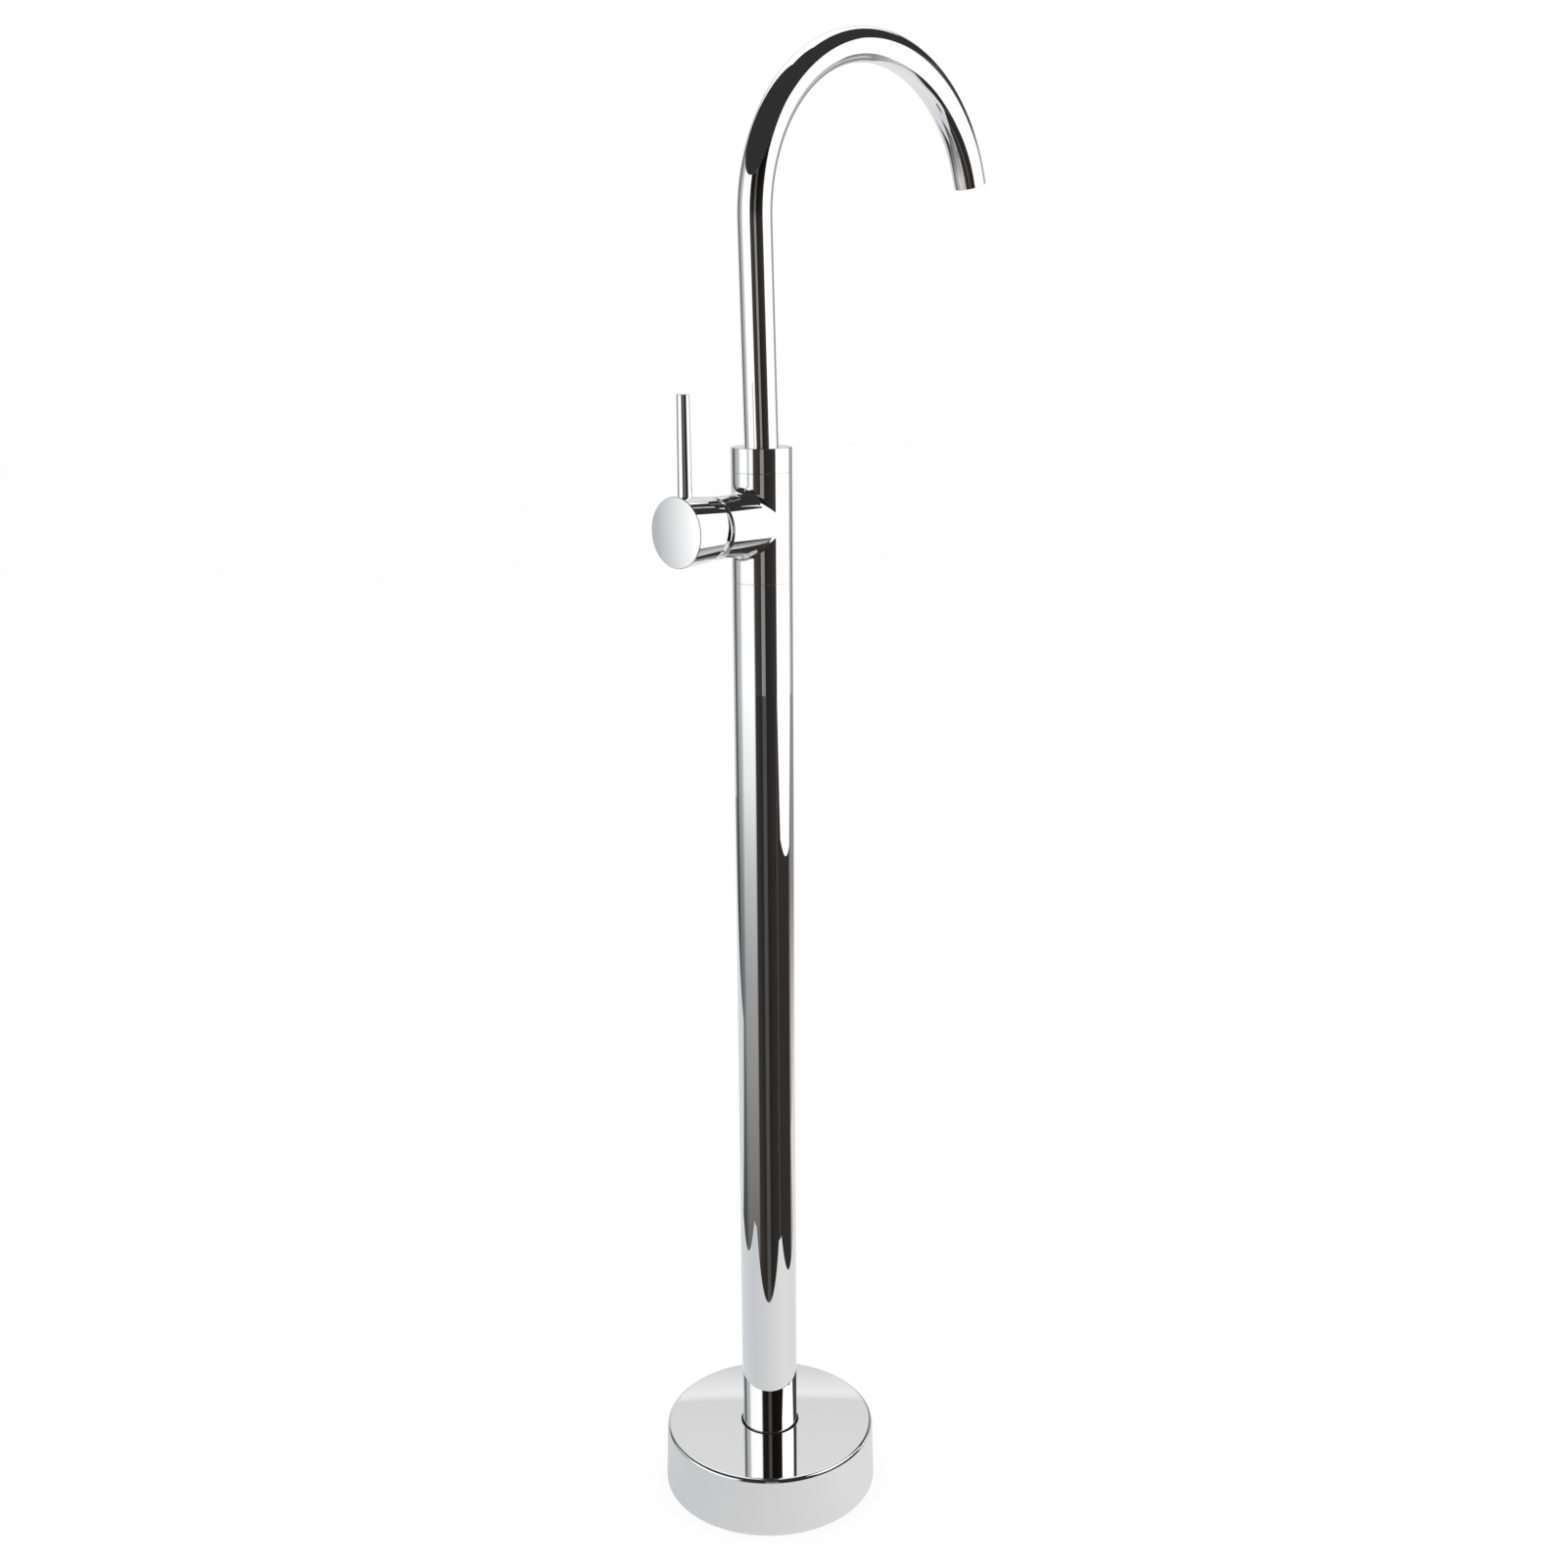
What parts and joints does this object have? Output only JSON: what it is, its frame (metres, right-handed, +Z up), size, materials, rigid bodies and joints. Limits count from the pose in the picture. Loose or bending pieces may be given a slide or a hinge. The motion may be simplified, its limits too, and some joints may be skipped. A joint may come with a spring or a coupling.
{
  "type": "floor standing bath filler",
  "caption": "Floor standing bath filler: a round column on a floor flange, a lever knob that mixes hot and cold water, and a gooseneck spout that swivels.",
  "frame": {"origin": "centre of the foot, on the floor", "axes": "+Z up along the column; +Y towards the spout's outlet; -Y towards the lever knob; +X to the side, cold water"},
  "size_m": [0.174, 0.3383, 1.1504],
  "materials": {
    "polished_chrome": "polished",
    "machined_brass": "machined",
    "black_rubber": "matt",
    "white_plastic": "moulded",
    "ceramic": "lapped ceramic",
    "stainless_steel": "plain",
    "braided_hose": "woven wire sleeve over rubber"
  },
  "bodies": {
    "stand": {"floor_flange": "machined_brass", "column_grub_screws": "stainless_steel", "base_cover": "polished_chrome", "cover_seal": "black_rubber", "column_tube": "polished_chrome", "hot_lower_fitting": "machined_brass", "hot_hose": "braided_hose", "hot_upper_fitting": "machined_brass", "cold_lower_fitting": "machined_brass", "cold_hose": "braided_hose", "cold_upper_fitting": "machined_brass", "hose_ferrules": "stainless_steel", "mixer_body": "polished_chrome", "spout_collar": "polished_chrome", "lower_slide_ring": "white_plastic", "upper_slide_ring": "white_plastic", "cartridge_base": "white_plastic", "port_seals": "black_rubber", "fixed_disc": "ceramic", "cartridge_housing": "white_plastic", "cartridge_nut": "machined_brass", "dome_cap": "polished_chrome"},
    "spout": {"spout_nipple": "machined_brass", "nipple_o_rings": "black_rubber", "spout_tube": "polished_chrome", "aerator_sleeve": "white_plastic", "aerator_insert": "white_plastic", "aerator_seal": "black_rubber"},
    "temperature_turner": {"spindle_carrier": "white_plastic", "spindle_pin": "stainless_steel"},
    "mixing_disc": {"moving_disc": "ceramic", "disc_carrier": "white_plastic"},
    "lever": {"spindle": "machined_brass", "handle_knob": "polished_chrome", "lever_pin": "polished_chrome", "handle_grub_screw": "stainless_steel"}
  },
  "joints": [
    {"name": "spout_swivel", "type": "hinge", "parent": "stand", "child": "spout", "pos_m": [0, 0, 0.84], "axis": [0, 0, 1], "range_deg": [-60, 60]},
    {"name": "temperature_turn", "type": "hinge", "parent": "stand", "child": "temperature_turner", "pos_m": [0, 0, 0.799], "axis": [0, -1, 0], "range_deg": [-50, 50]},
    {"name": "flow_tilt", "type": "hinge", "parent": "temperature_turner", "child": "lever", "pos_m": [0, -0.037, 0.799], "axis": [1, 0, 0], "range_deg": [0, 20]},
    {"name": "disc_shift", "type": "slide", "parent": "temperature_turner", "child": "mixing_disc", "axis": [0, 0, 1], "range_m": [0, 0.00311]}
  ],
  "couplings": [
    {"joint": "disc_shift", "follows": "flow_tilt", "m_per_rad": 0.0089}
  ]
}
